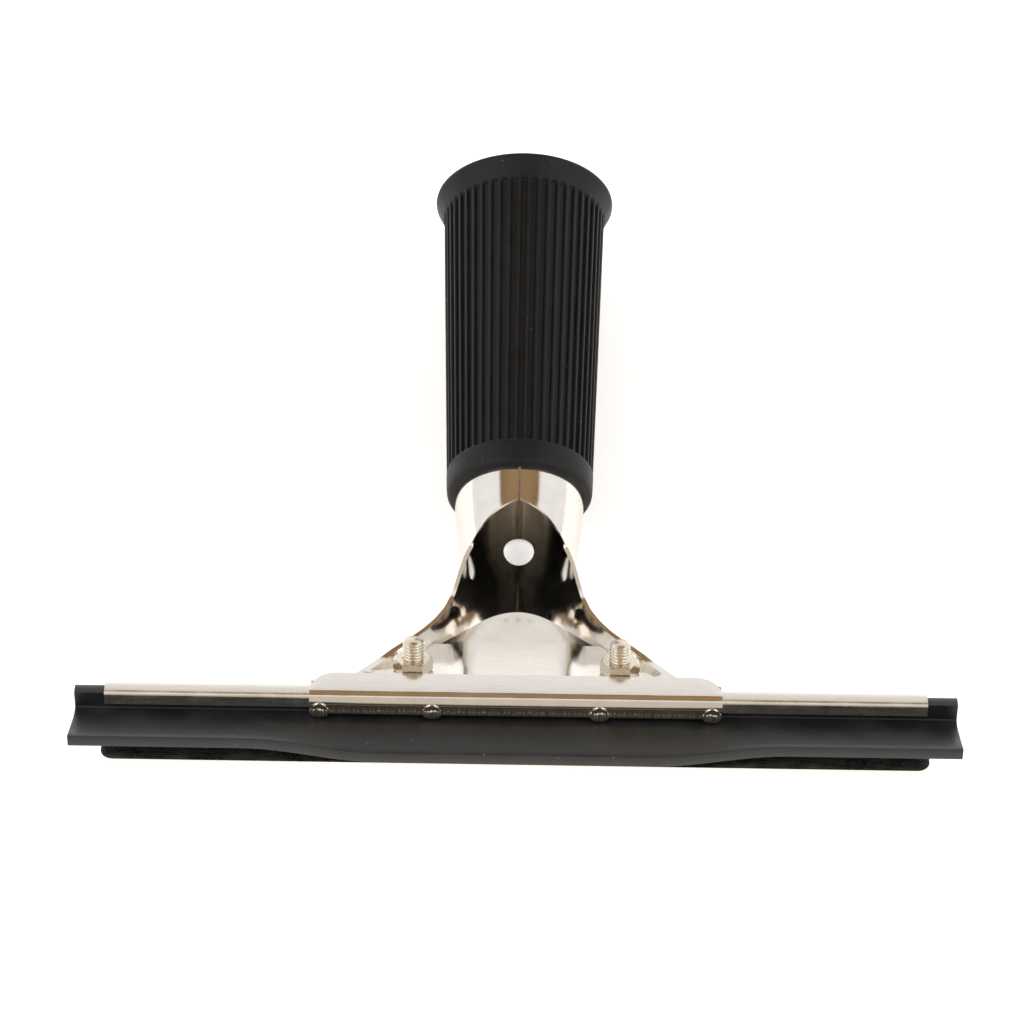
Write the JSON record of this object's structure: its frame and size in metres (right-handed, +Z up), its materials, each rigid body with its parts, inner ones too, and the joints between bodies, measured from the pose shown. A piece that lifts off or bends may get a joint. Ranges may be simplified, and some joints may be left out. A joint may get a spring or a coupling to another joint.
{
  "type": "window cleaning squeegee",
  "caption": "Window squeegee: folded stainless handle with a ribbed rubber grip, a screw-clamped jaw, and a channel that holds a rubber blade.",
  "frame": {"origin": "on the table under the middle of the bounding box, with the tool lying on its back", "axes": "+X along the blade, +Y from the blade towards the grip's end, +Z up; the handle's axis rises 5.4 degrees towards the grip's end"},
  "size_m": [0.2032, 0.1626, 0.0471],
  "materials": {
    "handle_steel": "polished",
    "jaw_steel": "satin",
    "channel_steel": "satin",
    "fastener_steel": "bright nickel plate",
    "grip_rubber": "matte moulded",
    "blade_rubber": "smooth satin"
  },
  "bodies": {
    "handle": {"handle_shell": "handle_steel", "rubber_grip": "grip_rubber"},
    "jaw": {"clamp_plate": "jaw_steel", "left_hex_nut": "fastener_steel", "right_hex_nut": "fastener_steel"},
    "left_screw": {"left_clamp_screw": "fastener_steel"},
    "right_screw": {"right_clamp_screw": "fastener_steel"},
    "channel": {"blade_channel": "channel_steel"},
    "rubber": {"rubber_blade": "blade_rubber"}
  },
  "joints": [
    {"name": "left_screw_turn", "type": "hinge", "parent": "handle", "child": "left_screw", "pos_m": [-0.02395, -0.05543, 0.01621], "axis": [0, -0.4793, -0.8777], "range_deg": [0, 720]},
    {"name": "right_screw_turn", "type": "hinge", "parent": "handle", "child": "right_screw", "pos_m": [0.02395, -0.05543, 0.01621], "axis": [0, -0.4793, -0.8777], "range_deg": [0, 720]},
    {"name": "jaw_open", "type": "slide", "parent": "handle", "child": "jaw", "axis": [0, 0.4793, 0.8777], "range_m": [0, 0.0016]},
    {"name": "channel_slide", "type": "slide", "parent": "handle", "child": "channel", "axis": [1, 0, 0], "range_m": [-0.04, 0.04]},
    {"name": "rubber_slide", "type": "slide", "parent": "channel", "child": "rubber", "axis": [1, 0, 0], "range_m": [-0.0068, 0.0068]}
  ],
  "couplings": [
    {"joint": "left_screw_turn", "follows": "jaw_open", "rad_per_m": 7853.9},
    {"joint": "right_screw_turn", "follows": "jaw_open", "rad_per_m": 7853.9}
  ]
}
